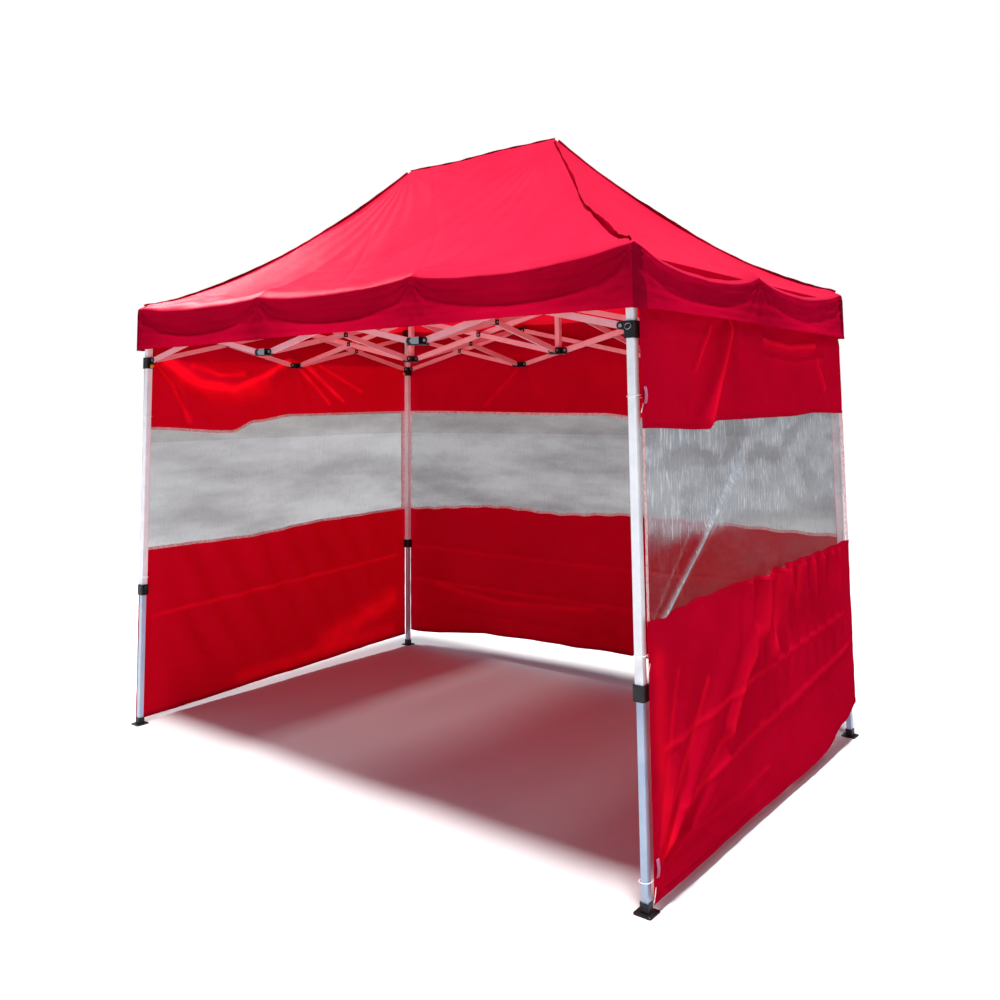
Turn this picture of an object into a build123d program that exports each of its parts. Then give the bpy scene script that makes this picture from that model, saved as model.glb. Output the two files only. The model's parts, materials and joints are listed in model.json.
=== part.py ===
from build123d import *
import math
import os

# A pop-up canopy: a folding lattice of crossed bars on four telescopic legs, two masts, a hip roof and
# three side walls with a window band. Millimetres, +Z up. The origin is on the ground under the middle
# of the roof; X runs along the long side, and the open side faces -Y.

# Lattice
PITCH = 980.0  # from one station to the next, both ways
LOWER_PIN_Z, UPPER_PIN_Z = 1858.0, 2068.0
PIN_OFFSET = 36.0  # from a station's middle to the pins round it

# Bars: flat tube with pressed, rounded ends
BAR_HEIGHT, BAR_THICKNESS, BAR_WALL = 25.0, 12.0, 1.0
BAR_SHIFT = 7.0  # the two bars of a pair lie this far either side of their common plane
RIVET_R, RIVET_HEAD_R, RIVET_HEAD = 4.0, 6.5, 1.6

# Connectors
CORE = 40.0
CHEEK, CHEEK_GAP, CHEEK_R = 3.0, 0.5, 14.0
FLANGE, FLANGE_REACH, FLANGE_WIDTH = 3.0, 50.0, 36.0

# Legs
OUTER_TUBE, OUTER_WALL, INNER_TUBE, INNER_WALL = 30.0, 1.2, 25.0, 1.2
OUTER_BOTTOM, OUTER_TOP, LEG_TOP = 662.0, 2120.0, 2132.0
INNER_TOP = 1090.0
SLEEVE, SLEEVE_BOTTOM, SLEEVE_TOP = 42.0, 646.0, 698.0
SLIDER = 42.0
FOOT, FOOT_PLATE, STAKE_HOLE_R, STAKE_OFFSET = 66.0, 4.0, 4.5, 23.0

# Masts
MAST, MAST_WALL, MAST_TOP = 25.0, 1.2, 2868.0

# Covers
ROOF_X, ROOF_Y = 3020.0, 2040.0
EAVE_Z, BREAK_Z, PEAK_Z, VALANCE_BOTTOM = 2150.0, 2415.0, 2904.0, 1912.0
BREAK_SHARE = 0.5  # how far up the slope, in plan, the fold in its sagging line is
CLOTH = 3.0
WALL_CLOTH, WALL_OUT, WALL_BOTTOM, WALL_TOP = 2.0, 34.0, 40.0, 2100.0
WINDOW_BOTTOM, WINDOW_TOP = 905.0, 1555.0

SPAN = PITCH - 2 * PIN_OFFSET
RISE = UPPER_PIN_Z - LOWER_PIN_Z
BAR_LENGTH = math.hypot(SPAN, RISE)
BAR_ANGLE = math.degrees(math.atan2(RISE, SPAN))
ROWS = {"front": -PITCH, "middle": 0.0, "back": PITCH}
COLUMNS = {"left": -1.5 * PITCH, "inner_left": -0.5 * PITCH, "inner_right": 0.5 * PITCH, "right": 1.5 * PITCH}

os.makedirs("parts", exist_ok=True)


def save(name, solids):
    """One STEP file for one node, its pieces kept as separate solids."""
    shape = solids[0] if len(solids) == 1 else Compound(children=solids)
    export_step(shape, f"parts/{name}.step")


def rivet(length):
    """A rivet along Y, its shank this long between two domed heads."""
    half = length / 2
    pin = Rot(90, 0, 0) * Cylinder(RIVET_R, length)
    for side in (-1, 1):
        head = Rot(90, 0, 0) * Cylinder(RIVET_HEAD_R, RIVET_HEAD)
        pin += Pos(0, side * (half + RIVET_HEAD / 2), 0) * head
    rims = [e for e in pin.edges().filter_by(GeomType.CIRCLE) if abs(e.center().Y) > half + 1]
    return fillet(rims, 1.0)


def bar():
    """A bar along X, centred on its middle pivot, with its three rivet holes."""
    side = SlotCenterToCenter(BAR_LENGTH, BAR_HEIGHT)
    hollow = SlotCenterToCenter(BAR_LENGTH, BAR_HEIGHT - 2 * BAR_WALL)
    tube = extrude(Plane.XZ * side, BAR_THICKNESS / 2, both=True)
    tube -= extrude(Plane.XZ * hollow, BAR_THICKNESS / 2 - BAR_WALL, both=True)
    for x in (-BAR_LENGTH / 2, 0, BAR_LENGTH / 2):
        tube -= Pos(x, 0, 0) * Rot(90, 0, 0) * Cylinder(RIVET_R + 0.1, 2 * BAR_THICKNESS)
    return tube.solid()


def connector(arms, upper, core=CORE, hole=0.0, above=0.0, below=0.0, flange=True):
    """A moulded connector round the origin at pin height, and its rivets.

    Each arm is a fork pointing at the angle given. A fork holds one bar, on the side of the arm where that bar
    lies: an upper connector's bars lie on one side and a lower connector's on the other.
    """
    side = -1 if upper else 1
    bar_y = side * BAR_SHIFT
    low, high = -CHEEK_R - below, CHEEK_R + above
    body = Pos(0, 0, low) * extrude(RectangleRounded(core, core, 4), high - low)
    cheek_side = Pos(PIN_OFFSET, 0) * Circle(CHEEK_R) + Pos(PIN_OFFSET / 2 + 4, 0) * Rectangle(
        PIN_OFFSET - 8, 2 * CHEEK_R
    )
    rivets = []
    for angle in arms:
        turn = Rot(0, 0, angle)
        for cheek in (-1, 1):
            inner = bar_y + cheek * (BAR_THICKNESS / 2 + CHEEK_GAP)
            outer = inner + cheek * CHEEK
            plate = extrude(Plane.XZ * cheek_side, CHEEK / 2, both=True)
            body += turn * Pos(0, (inner + outer) / 2, 0) * plate
        if flange:
            strip = Pos(FLANGE_REACH / 2, 0) * RectangleRounded(FLANGE_REACH, FLANGE_WIDTH, 6)
            z = CHEEK_R if upper else -CHEEK_R - FLANGE
            body += turn * Pos(0, 0, z) * extrude(strip, FLANGE)
        body -= turn * Pos(PIN_OFFSET, 0, 0) * Rot(90, 0, 0) * Cylinder(RIVET_R + 0.05, 80)
        shank = BAR_THICKNESS + 2 * (CHEEK_GAP + CHEEK)
        rivets.append(turn * Pos(PIN_OFFSET, bar_y, 0) * rivet(shank))
    if hole:
        body -= Box(hole, hole, 400)
    return [body.solid(), *rivets]


def square_tube(size, wall, bottom, top):
    """A square tube, open at both ends, with rounded corners."""
    tube = extrude(RectangleRounded(size, size, 3), top - bottom)
    tube -= extrude(RectangleRounded(size - 2 * wall, size - 2 * wall, 3 - wall), top - bottom)
    return (Pos(0, 0, bottom) * tube).solid()


def placed(solids, x, y, z=0.0):
    return [Pos(x, y, z) * s for s in solids]


def arms_at(x, y):
    """The angles of the arms of a connector at a station: one towards each neighbour."""
    ends = {0: x < 1.4 * PITCH, 90: y < 0.9 * PITCH, 180: x > -1.4 * PITCH, 270: y > -0.9 * PITCH}
    return [angle for angle, wanted in ends.items() if wanted]


# Bars: one pair of crossed bars between each two neighbouring stations. One falls from the upper pin at
# the first station to the lower pin at the next, the other rises. The falling bar holds the middle rivet.
plain_bar = bar()
middle_rivet = rivet(2 * (BAR_SHIFT + BAR_THICKNESS / 2))
pairs = []
for row, y in ROWS.items():
    for n in (1, 2, 3):
        pairs.append((f"{row}_bar_{n}", (n - 2) * PITCH, y, 0))
for column, x in COLUMNS.items():
    for n in (1, 2):
        pairs.append((f"{column}_bar_{n}", x, (n - 1.5) * PITCH, 90))
for name, x, y, turn in pairs:
    place = Pos(x, y, (LOWER_PIN_Z + UPPER_PIN_Z) / 2) * Rot(0, 0, turn)
    falling = place * Pos(0, -BAR_SHIFT, 0) * Rot(0, BAR_ANGLE, 0) * plain_bar
    rising = place * Pos(0, BAR_SHIFT, 0) * Rot(0, -BAR_ANGLE, 0) * plain_bar
    # a nylon washer fills the gap between the two bars round their rivet
    washer = Rot(90, 0, 0) * (Cylinder(9, 1.8) - Cylinder(RIVET_R + 0.1, 4))
    save(f"{name}_fall", [falling, place * middle_rivet, place * washer.solid()])
    save(f"{name}_rise", [rising])

# Lower connectors between the legs, and the two masts, each standing in a lower connector of its own.
for row in ("front", "back"):
    for n, x in ((1, -PITCH / 2), (2, PITCH / 2)):
        solids = connector(arms_at(x, ROWS[row]), upper=False)
        save(f"{row}_lower_connector_{n}", placed(solids, x, ROWS[row], LOWER_PIN_Z))
for side in ("left", "right"):
    x = COLUMNS[side]
    save(f"{side}_lower_connector", placed(connector(arms_at(x, 0), upper=False), x, 0, LOWER_PIN_Z))

for side in ("left", "right"):
    x = COLUMNS[f"inner_{side}"]
    solids = connector(arms_at(x, 0), upper=False, hole=MAST + 0.2)
    solids = placed(solids, 0, 0, LOWER_PIN_Z)
    solids.append(square_tube(MAST, MAST_WALL, LOWER_PIN_Z - CHEEK_R, MAST_TOP - 14))
    # a moulded cap spreads the roof cloth over the mast's end
    cap = extrude(Circle(27), 10)
    cap = fillet(cap.edges().group_by(Axis.Z)[-1], 8)
    cap += Pos(0, 0, -12) * extrude(RectangleRounded(MAST + 8, MAST + 8, 4), 12)
    cap -= Pos(0, 0, -12) * extrude(Rectangle(MAST + 0.2, MAST + 0.2), 8)
    solids.append((Pos(0, 0, MAST_TOP - 10) * cap).solid())
    save(f"mast_{side}", placed(solids, x, 0))

# Upper connectors. The left mast's own is the fixed piece of the whole folding frame.
left_mast_x = COLUMNS["inner_left"]
solids = connector(arms_at(left_mast_x, 0), upper=True, hole=MAST + 1.0)
save("mast_upper_connector", placed(solids, left_mast_x, 0, UPPER_PIN_Z))

others = []
for y in ROWS.values():
    for x in COLUMNS.values():
        corner = abs(x) > PITCH and abs(y) > 0
        if corner or (x, y) == (left_mast_x, 0.0):
            continue
        hole = MAST + 1.0 if abs(x) < PITCH and y == 0 else 0.0
        others += placed(connector(arms_at(x, y), upper=True, hole=hole), x, y, UPPER_PIN_Z)
save("upper_connectors", others)

# Legs. The four sets are the same parts, turned a quarter turn from one corner to the next.
corners = {
    "front_left": (-1.5 * PITCH, -PITCH, 0),
    "front_right": (1.5 * PITCH, -PITCH, 90),
    "back_right": (1.5 * PITCH, PITCH, 180),
    "back_left": (-1.5 * PITCH, PITCH, 270),
}
for name, (x, y, turn) in corners.items():
    quarter = Rot(0, 0, turn)

    # Outer leg: square tube, the top bracket that closes its end, and the sleeve that locks the lower leg
    bracket = connector((0, 90), upper=True, core=SLIDER, above=LEG_TOP - UPPER_PIN_Z - CHEEK_R)
    bore = Pos(0, 0, -150 + OUTER_TOP - UPPER_PIN_Z) * Box(OUTER_TUBE + 0.2, OUTER_TUBE + 0.2, 300)
    bracket = placed([(bracket[0] - bore).solid(), *bracket[1:]], 0, 0, UPPER_PIN_Z)
    sleeve = extrude(RectangleRounded(SLEEVE, SLEEVE, 6), SLEEVE_TOP - SLEEVE_BOTTOM)
    sleeve = fillet(sleeve.edges().group_by(Axis.Z)[-1], 2)
    sleeve = Pos(0, 0, SLEEVE_BOTTOM) * sleeve
    seat = SLEEVE_TOP - OUTER_BOTTOM
    sleeve -= Pos(0, 0, OUTER_BOTTOM + seat / 2) * Box(OUTER_TUBE + 0.2, OUTER_TUBE + 0.2, seat + 0.01)
    sleeve -= Pos(0, 0, SLEEVE_BOTTOM) * Box(INNER_TUBE + 0.6, INNER_TUBE + 0.6, 60)
    button = Pos(SLEEVE / 2 + 6, 0, SLEEVE_TOP - 16) * Rot(0, 90, 0) * Cylinder(8, 12)
    button = fillet(button.edges().filter_by(GeomType.CIRCLE).sort_by(Axis.X)[-1], 2)
    tube = square_tube(OUTER_TUBE, OUTER_WALL, OUTER_BOTTOM, OUTER_TOP)
    leg = [tube, *bracket, sleeve.solid(), button.solid()]
    save(f"{name}_leg", placed([quarter * s for s in leg], x, y))

    # Lower leg: inner tube with a guide on its upper end, and the foot with its stake hole
    inner = square_tube(INNER_TUBE, INNER_WALL, FOOT_PLATE + 2, INNER_TOP - 3)
    guide = Pos(0, 0, INNER_TOP - 3) * extrude(RectangleRounded(OUTER_TUBE - 3, OUTER_TUBE - 3, 2), 3)
    guide += Pos(0, 0, INNER_TOP - 23) * extrude(Rectangle(INNER_TUBE - 2.6, INNER_TUBE - 2.6), 20)
    foot = extrude(RectangleRounded(FOOT, FOOT, 8), FOOT_PLATE)
    socket = extrude(RectangleRounded(INNER_TUBE + 8, INNER_TUBE + 8, 4), 34)
    socket -= Pos(0, 0, FOOT_PLATE + 2) * extrude(Rectangle(INNER_TUBE + 0.2, INNER_TUBE + 0.2), 40)
    foot += socket
    foot -= Pos(-STAKE_OFFSET, -STAKE_OFFSET, 0) * Cylinder(STAKE_HOLE_R, 20)
    solids = [inner, guide.solid(), foot.solid()]
    save(f"{name}_lower_leg", placed([quarter * s for s in solids], x, y))

    # Slider, with the knob that pulls its locking pin out of the leg
    slider = connector((0, 90), upper=False, core=SLIDER, hole=OUTER_TUBE + 1, below=30, flange=False)
    knob = Pos(SLIDER / 2 + 6, 0, -32) * Rot(0, 90, 0) * Cylinder(4, 12)
    grip = Pos(SLIDER / 2 + 14, 0, -32) * Rot(0, 90, 0) * Cylinder(10, 8)
    knob += fillet(grip.edges().filter_by(GeomType.CIRCLE), 2)
    solids = [quarter * s for s in (*slider, knob.solid())]
    save(f"{name}_slider", placed(solids, x, y, LOWER_PIN_Z))

# Roof: four sewn slopes, each with one fold in its sagging line, and a valance all round. The slopes meet
# in a ridge between the masts.
ridge = PITCH / 2
half_x, half_y = ROOF_X / 2, ROOF_Y / 2
break_x = half_x + (ridge - half_x) * BREAK_SHARE
break_y = half_y * (1 - BREAK_SHARE)
rings = [(half_x, half_y, EAVE_Z), (break_x, break_y, BREAK_Z), (ridge, 0.0, PEAK_Z)]
panels = []
for (x0, y0, z0), (x1, y1, z1) in zip(rings, rings[1:]):
    for s in (-1, 1):
        long = [(-x0, s * y0, z0), (x0, s * y0, z0), (x1, s * y1, z1), (-x1, s * y1, z1)]
        end = [(s * x0, -y0, z0), (s * x0, y0, z0), (s * x1, y1, z1), (s * x1, -y1, z1)]
        for points in (long, end if y1 else end[:3]):
            face = make_face(Polyline(*points, close=True))
            panels.append(extrude(face, CLOTH, dir=(0, 0, -1)).solid())
drop = EAVE_Z - CLOTH - VALANCE_BOTTOM
for s in (-1, 1):
    middle_z = VALANCE_BOTTOM + drop / 2
    panels.append((Pos(0, s * (half_y - CLOTH / 2), middle_z) * Box(ROOF_X, CLOTH, drop)).solid())
    short = ROOF_Y - 2 * CLOTH
    panels.append((Pos(s * (half_x - CLOTH / 2), 0, middle_z) * Box(CLOTH, short, drop)).solid())
save("roof", panels)

# Side walls: a cloth band, a clear window band and a cloth band, sewn edge to edge.
bands = [(WALL_BOTTOM, WINDOW_BOTTOM), (WINDOW_BOTTOM, WINDOW_TOP), (WINDOW_TOP, WALL_TOP)]
wall_x, wall_y = 1.5 * PITCH + WALL_OUT, PITCH + WALL_OUT
sides = {
    "left_wall": (-wall_x, 0, WALL_CLOTH, 2 * PITCH + 40),
    "right_wall": (wall_x, 0, WALL_CLOTH, 2 * PITCH + 40),
    "back_wall": (0, wall_y, 3 * PITCH + 40, WALL_CLOTH),
}
for name, (x, y, size_x, size_y) in sides.items():
    sheets = [(Pos(x, y, (a + b) / 2) * Box(size_x, size_y, b - a)).solid() for a, b in bands]
    save(name, sheets)
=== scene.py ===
import json
import math

import bmesh
import bpy
import numpy as np
from mathutils import Matrix, Vector, noise

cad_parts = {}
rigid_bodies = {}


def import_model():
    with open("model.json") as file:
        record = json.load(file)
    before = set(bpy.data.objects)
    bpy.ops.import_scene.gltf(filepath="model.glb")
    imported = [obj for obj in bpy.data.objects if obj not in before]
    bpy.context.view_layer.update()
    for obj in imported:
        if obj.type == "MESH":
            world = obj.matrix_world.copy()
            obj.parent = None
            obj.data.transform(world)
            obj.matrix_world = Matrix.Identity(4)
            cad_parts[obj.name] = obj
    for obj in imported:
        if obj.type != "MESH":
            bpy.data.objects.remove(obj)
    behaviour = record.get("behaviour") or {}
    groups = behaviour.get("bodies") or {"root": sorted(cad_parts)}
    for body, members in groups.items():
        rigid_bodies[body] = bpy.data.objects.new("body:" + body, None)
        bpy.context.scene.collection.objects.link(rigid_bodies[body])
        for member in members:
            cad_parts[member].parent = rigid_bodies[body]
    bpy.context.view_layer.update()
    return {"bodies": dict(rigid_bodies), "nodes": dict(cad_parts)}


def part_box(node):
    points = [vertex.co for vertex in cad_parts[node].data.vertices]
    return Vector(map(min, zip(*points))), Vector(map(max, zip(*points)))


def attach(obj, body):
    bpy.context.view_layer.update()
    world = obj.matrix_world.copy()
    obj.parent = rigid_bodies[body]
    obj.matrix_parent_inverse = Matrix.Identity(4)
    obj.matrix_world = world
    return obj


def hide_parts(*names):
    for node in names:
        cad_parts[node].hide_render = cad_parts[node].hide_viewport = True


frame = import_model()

# Camera: standing outside the front right corner, at eye height, with a slightly wide lens. The lens axis
# looks a little up, and the picture is shifted down to take in the feet.
EYE = (3.035, -3.662, 1.591)
AZIMUTH, PITCH_UP, ROLL = 38.4, 5.41, 0.67
camera = bpy.data.objects.new("camera", bpy.data.cameras.new("camera"))
bpy.context.scene.collection.objects.link(camera)
camera.data.lens = 33.3
camera.data.sensor_width = 36
camera.data.shift_y = -0.1807
camera.location = EYE
turned = Matrix.Rotation(math.radians(AZIMUTH), 4, "Z") @ Matrix.Rotation(math.radians(90 + PITCH_UP), 4, "X")
camera.matrix_world = Matrix.Translation(EYE) @ turned @ Matrix.Rotation(math.radians(-ROLL), 4, "Z")
bpy.context.scene.camera = camera

# Ties: five lengths of soft white cotton cord, 3 mm thick. Each goes round a front leg, is looped once
# through the wall's tab and ends in a short hanging tail.
TIE_THICK = 0.003
LOOP_HALF = 0.021  # from the leg's middle to the cord's control points


def linear(hex_colour):
    """An sRGB hex colour as the linear colour that a shader takes."""
    parts = [int(hex_colour[i : i + 2], 16) / 255 for i in (1, 3, 5)]
    return (*[c / 12.92 if c <= 0.04045 else ((c + 0.055) / 1.055) ** 2.4 for c in parts], 1.0)


def node(material, kind, settings=None, links=None):
    """Adds one node: settings are its properties or the values of its inputs, links its inputs' sources."""
    made = material.node_tree.nodes.new(kind)
    for name, value in (settings or {}).items():
        if isinstance(name, int) or name in made.inputs:
            made.inputs[name].default_value = value
        else:
            setattr(made, name, value)
    for name, source in (links or {}).items():
        material.node_tree.links.new(source, made.inputs[name])
    return made


def blank(name):
    """A material with an empty node tree, and its output node."""
    material = bpy.data.materials.new(name)
    material.use_nodes = True
    material.node_tree.nodes.clear()
    return material, material.node_tree.nodes.new("ShaderNodeOutputMaterial")


def shade(material, output, shader):
    material.node_tree.links.new(shader, output.inputs["Surface"])
    return material


def ramp(material, source, stops):
    """A colour ramp through these (place, colour) stops."""
    made = node(material, "ShaderNodeValToRGB", links={"Fac": source})
    elements = made.color_ramp.elements
    while len(elements) < len(stops):
        elements.new(0.5)
    for element, (place, colour) in zip(elements, stops):
        element.position = place
        element.color = colour if isinstance(colour, tuple) else (colour, colour, colour, 1)
    return made.outputs["Color"]


# Twisted cotton: matt white, with the slanting grooves of its three strands, and painted shade that darkens the
# grooves.
cotton, out = blank("twisted_cotton_cord")
place = node(cotton, "ShaderNodeTexCoord").outputs["Object"]
strands = node(
    cotton, "ShaderNodeTexWave", {"Scale": 220.0, "Distortion": 1.5, "bands_direction": "DIAGONAL"}, {"Vector": place}
)
grooves = node(
    cotton, "ShaderNodeBump", {"Strength": 0.6, "Distance": 0.0006}, {"Height": strands.outputs["Fac"]}
)
shader = node(
    cotton,
    "ShaderNodeBsdfPrincipled",
    {"Roughness": 0.85, "Sheen Weight": 0.3},
    {
        "Base Color": ramp(
            cotton, strands.outputs["Fac"], [(0.0, linear("#CFCFD2")), (0.6, linear("#F7F7F5"))]
        ),
        "Normal": grooves.outputs["Normal"],
    },
)
shade(cotton, out, shader.outputs["BSDF"])


def placed(name, data, *finishes):
    """A new object in the scene, made of this data and with these finishes."""
    for finish in finishes:
        data.materials.append(finish)
    piece = bpy.data.objects.new(name, data)
    bpy.context.scene.collection.objects.link(piece)
    return piece


def cord_piece(name, points, radius, material, body):
    """A round cord along a NURBS spline with these control points."""
    data = bpy.data.curves.new(name, "CURVE")
    data.dimensions = "3D"
    data.bevel_depth = radius
    data.bevel_resolution = 3
    data.resolution_u = 8
    data.use_fill_caps = True
    spline = data.splines.new("NURBS")
    spline.points.add(len(points) - 1)
    for p, co in zip(spline.points, points):
        p.co = (*co, 1)
    spline.order_u = 3
    spline.use_endpoint_u = True
    piece = placed(name, data, material)
    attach(piece, body)
    return piece


def line_length(piece):
    """The length of a cord's own line."""
    bare = piece.data.copy()
    bare.bevel_depth = 0
    holder = placed("measure", bare)
    mesh = bpy.data.meshes.new_from_object(holder.evaluated_get(bpy.context.evaluated_depsgraph_get()))
    points = [v.co.copy() for v in mesh.vertices]
    bpy.data.objects.remove(holder)
    bpy.data.meshes.remove(mesh)
    return sum((b - a).length for a, b in zip(points, points[1:]))


def middle_of(node_name):
    low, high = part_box(node_name)
    return [(a + b) / 2 for a, b in zip(low, high)]


ties = [
    ("front_right", 1.625, "front_right_leg", 1),
    ("front_right", 0.790, "front_right_leg", 1),
    ("front_right", 0.100, "front_right_lower_leg", 1),
    ("front_left", 1.570, "front_left_leg", -1),
    ("front_left", 0.740, "front_left_leg", -1),
]
for n, (corner, height, body, side) in enumerate(ties, 1):
    x, y, _ = middle_of(f"{corner}_lower_leg")
    turn = [(1, 1), (1, -1), (-1, -1), (-1, 1), (1, 1.25)]
    points = [(x + side * 0.026, y + 0.034, height + 0.022), (x + side * 0.027, y + 0.031, height + 0.010)]
    for i, (a, b) in enumerate(turn):  # each side of the turn lies a little lower than the one before
        points.append((x + side * a * LOOP_HALF, y + b * LOOP_HALF, height - 0.0022 * i))
    points += [
        (x + side * 0.029, y + 0.012, height - 0.014),
        (x + side * 0.033, y + 0.002, height - 0.032),
        (x + side * 0.031, y - 0.006, height - 0.058),
    ]
    tie = cord_piece(f"wall_tie_{n}", points, TIE_THICK / 2, cotton, body)
    line_length(tie)

# Frame tubes: steel tube, welded square or rolled flat, then powder coated white. The bars and tubes keep
# their CAD shape, and rivets, washers and moulded ends get their own finish, face by face.
PIN_OFFSET, LOWER_PIN, UPPER_PIN, PITCH = 0.036, 1.858, 2.068, 0.98

# Powder coat: slightly cool white, half gloss, with orange peel about 2 mm across and a little dust.
powder_coat, out = blank("white_powder_coated_steel")
place = node(powder_coat, "ShaderNodeTexCoord").outputs["Object"]
peel = node(powder_coat, "ShaderNodeTexNoise", {"Scale": 500.0, "Detail": 2.0}, {"Vector": place})
dust = node(
    powder_coat, "ShaderNodeTexNoise", {"Scale": 9.0, "Detail": 6.0, "Roughness": 0.7}, {"Vector": place}
)
orange = {"Strength": 0.12, "Distance": 0.0004}
peel_bump = node(powder_coat, "ShaderNodeBump", orange, {"Height": peel.outputs["Fac"]})
shader = node(
    powder_coat,
    "ShaderNodeBsdfPrincipled",
    {"Coat Weight": 0.3, "Coat Roughness": 0.25},
    {
        "Base Color": ramp(
            powder_coat, dust.outputs["Fac"], [(0.3, linear("#E8EAF0")), (0.62, linear("#FAFBFD"))]
        ),
        "Roughness": ramp(powder_coat, dust.outputs["Fac"], [(0.3, 0.45), (0.7, 0.3)]),
        "Normal": peel_bump.outputs["Normal"],
    },
)
shade(powder_coat, out, shader.outputs["BSDF"])

# The bars and masts are coated alike. Their colour is tinted pink, as the eye sees them in the red light that falls
# through the cloth: painted red light. The lower legs' coat is tinted blue: painted bluish shade.
PALE = 0.55  # a ramp that starts paler than this is the coat's colour, not its roughness
bar_coat_painted_red_light = powder_coat.copy()
bar_coat_painted_red_light.name = "white_powder_coated_steel_painted_red_light"
leg_coat_painted_blue_shade = powder_coat.copy()
leg_coat_painted_blue_shade.name = "white_powder_coated_steel_painted_blue_shade"
for coat, dusty_painted_tint, clean_painted_tint in ((bar_coat_painted_red_light, "#E6959E", "#F2A9B1"), (leg_coat_painted_blue_shade, "#A6BAD6", "#BCCDE4")):
    for step in coat.node_tree.nodes:
        if step.type == "VALTORGB" and step.color_ramp.elements[0].color[0] > PALE:
            step.color_ramp.elements[0].color = linear(dusty_painted_tint)
            step.color_ramp.elements[1].color = linear(clean_painted_tint)

# Moulded nylon: near black, with a fine matt grain from the mould and paler rubbed patches.
nylon, out = blank("moulded_black_nylon")
place = node(nylon, "ShaderNodeTexCoord").outputs["Object"]
grain = node(nylon, "ShaderNodeTexNoise", {"Scale": 900.0, "Detail": 3.0}, {"Vector": place})
rubbed = node(nylon, "ShaderNodeTexNoise", {"Scale": 40.0, "Detail": 4.0}, {"Vector": place})
grain_bump = node(
    nylon, "ShaderNodeBump", {"Strength": 0.3, "Distance": 0.0003}, {"Height": grain.outputs["Fac"]}
)
shader = node(
    nylon,
    "ShaderNodeBsdfPrincipled",
    {"Specular IOR Level": 0.4},
    {
        "Base Color": ramp(
            nylon, rubbed.outputs["Fac"], [(0.35, linear("#08080A")), (0.75, linear("#1C1C20"))]
        ),
        "Roughness": ramp(nylon, rubbed.outputs["Fac"], [(0.3, 0.55), (0.7, 0.38)]),
        "Normal": grain_bump.outputs["Normal"],
    },
)
shade(nylon, out, shader.outputs["BSDF"])

# Zinc plated steel: bright grey metal with a slightly uneven shine.
zinc, out = blank("zinc_plated_steel")
place = node(zinc, "ShaderNodeTexCoord").outputs["Object"]
spangle = node(zinc, "ShaderNodeTexNoise", {"Scale": 160.0, "Detail": 3.0}, {"Vector": place})
shader = node(
    zinc,
    "ShaderNodeBsdfPrincipled",
    {"Metallic": 1.0, "Base Color": linear("#B9BBBE")},
    {"Roughness": ramp(zinc, spangle.outputs["Fac"], [(0.3, 0.25), (0.7, 0.45)])},
)
shade(zinc, out, shader.outputs["BSDF"])


def finish_faces(mesh, base, rules):
    """Gives a mesh its base finish, and each face that a rule picks by its middle another."""
    mesh.materials.clear()
    finishes = [base, *(finish for finish, _ in rules)]
    for finish in finishes:
        mesh.materials.append(finish)
    for face in mesh.polygons:
        found = (n for n, (_, picks) in enumerate(rules, 1) if picks(face.center))
        face.material_index = next(found, 0)


def near_axis(pins, reach):
    """Picks points nearer than reach to one of the pins, each given as (point, direction 'x' or 'y')."""

    def picks(c):
        for (px, py, pz), way in pins:
            across, along = (c.x - px, c.y - py) if way == "y" else (c.y - py, c.x - px)
            if math.hypot(across, c.z - pz) < reach and abs(along) < PIN_HALF:
                return True
        return False

    return picks


def pins_round(x, y, z):
    """The four places where a connector at a station may hold a rivet."""
    found = []
    for s in (-1, 1):
        found.append(((x + s * PIN_OFFSET, y, z), "y"))
        found.append(((x, y + s * PIN_OFFSET, z), "x"))
    return found


PIN_HALF, RIVET_HEAD, WASHER = 0.03, 0.0068, 0.0095  # half a pin's length, and the reach of its parts
bars = [name for name in frame["nodes"] if "_bar_" in name]


def bar_pivot(name):
    """(where a bar's middle rivet is, whether the bar runs along x)."""
    x, y, _ = middle_of(name)
    return (x, y, (LOWER_PIN + UPPER_PIN) / 2), name.split("_bar_")[0] in ("front", "middle", "back")


for name in bars:
    spot, along_x = bar_pivot(name)
    pin = [(spot, "y" if along_x else "x")]
    rules = [(zinc, near_axis(pin, RIVET_HEAD)), (nylon, near_axis(pin, WASHER))]
    finish_faces(frame["nodes"][name].data, bar_coat_painted_red_light, rules if name.endswith("_fall") else [])

# Pivot blocks: where two bars cross, each pair is held apart and covered by a square moulded block, with a
# domed rivet through it.
BLOCK_HALF, BLOCK_DEEP, BLOCK_EDGE, DOME = 0.0125, 0.0165, 0.003, 0.0045


def pivot_block(name, along_x, spot):
    """A square block with rounded edges round a pivot, and a domed rivet head on both faces."""
    work = bmesh.new()
    bmesh.ops.create_cube(work, size=1)
    bmesh.ops.scale(work, vec=(2 * BLOCK_HALF, 2 * BLOCK_DEEP, 2 * BLOCK_HALF), verts=work.verts)
    bmesh.ops.bevel(work, geom=list(work.edges), offset=BLOCK_EDGE, segments=3, affect="EDGES", profile=0.6)
    for side in (-1, 1):
        made = bmesh.ops.create_uvsphere(work, u_segments=16, v_segments=8, radius=DOME)
        for v in made["verts"]:
            v.co = Vector((v.co.x, side * BLOCK_DEEP + v.co.y * 0.5, v.co.z))
            for face in v.link_faces:
                face.material_index = 1
    if not along_x:
        bmesh.ops.rotate(work, verts=work.verts, matrix=Matrix.Rotation(math.radians(90), 3, "Z"))
    bmesh.ops.translate(work, verts=work.verts, vec=spot)
    mesh = bpy.data.meshes.new(name)
    work.to_mesh(mesh)
    work.free()
    mesh.polygons.foreach_set("use_smooth", [True] * len(mesh.polygons))
    return placed(name, mesh, nylon, zinc)


for name in [bar for bar in bars if bar.endswith("_fall")]:
    spot, along_x = bar_pivot(name)
    block = pivot_block(f"pivot_block_{name.removesuffix('_fall')}", along_x, spot)
    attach(block, name)

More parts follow.
